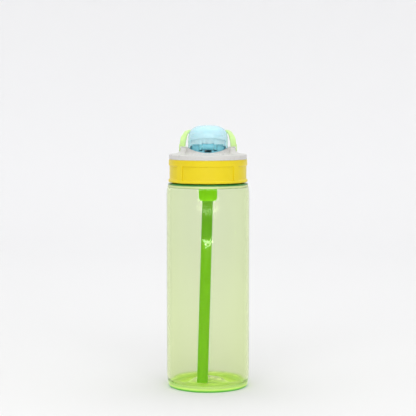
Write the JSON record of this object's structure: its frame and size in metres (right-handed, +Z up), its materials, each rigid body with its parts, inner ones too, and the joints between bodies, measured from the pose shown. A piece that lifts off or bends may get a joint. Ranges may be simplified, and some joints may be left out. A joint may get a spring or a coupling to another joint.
{
  "type": "kids water bottle",
  "caption": "Tall clear bottle with a screw lid, a hinged flip cover over a soft spout with a straw, a push button and a swinging carry loop.",
  "frame": {"origin": "centre of the base, in the plane that the bottle stands on", "axes": "+Z up along the bottle, +Y towards the button and the side that is drunk from, the cover's hinge at -Y"},
  "size_m": [0.077, 0.077, 0.2435],
  "materials": {
    "clear_body": "clear, tinted green, polished",
    "silicone": "soft and matt",
    "yellow_plastic": "satin",
    "white_plastic": "satin",
    "inner_white": "satin",
    "blue_base": "satin",
    "blue_cover": "satin, slightly see-through",
    "button_blue": "satin",
    "green_connector": "ribbed",
    "green_straw": "satin",
    "pale_green_loop": "satin",
    "steel": "drawn wire"
  },
  "bodies": {
    "bottle": {"bottle_body": "clear_body"},
    "gasket": {"neck_gasket": "silicone"},
    "lid": {"collar_ring": "yellow_plastic", "lid_base": "white_plastic", "inner_lid": "inner_white", "channel_seal": "silicone", "spout_base": "blue_base", "spout": "silicone", "spout_ring": "white_plastic", "vent_valve": "silicone", "straw_connector": "green_connector", "straw_seal": "silicone", "straw": "green_straw", "hinge_pin": "steel", "cover_spring": "steel", "button_spring": "steel"},
    "cover": {"flip_cover": "blue_cover", "cover_seal": "silicone"},
    "loop": {"carry_loop": "pale_green_loop"},
    "button": {"push_button": "button_blue"}
  },
  "joints": [
    {"name": "lid_rise", "type": "slide", "parent": "bottle", "child": "gasket", "axis": [0, 0, 1], "range_m": [0, 0.005]},
    {"name": "lid_turn", "type": "hinge", "parent": "gasket", "child": "lid", "pos_m": [0, 0, 0.2], "axis": [0, 0, 1], "range_deg": [0, 450]},
    {"name": "cover_flip", "type": "hinge", "parent": "lid", "child": "cover", "pos_m": [0, -0.0155, 0.2241], "axis": [1, 0, 0], "range_deg": [0, 100], "deforming": ["cover_spring"]},
    {"name": "loop_swing", "type": "hinge", "parent": "lid", "child": "loop", "pos_m": [0, 0, 0.2213], "axis": [1, 0, 0], "range_deg": [0, 70]},
    {"name": "button_press", "type": "slide", "parent": "lid", "child": "button", "axis": [0, -1, 0], "range_m": [0, 0.002], "stiffness_N_per_m": 600, "springref_m": -0.001, "deforming": ["button_spring"]}
  ],
  "couplings": [
    {"joint": "lid_rise", "follows": "lid_turn", "m_per_rad": 0.00063662}
  ]
}
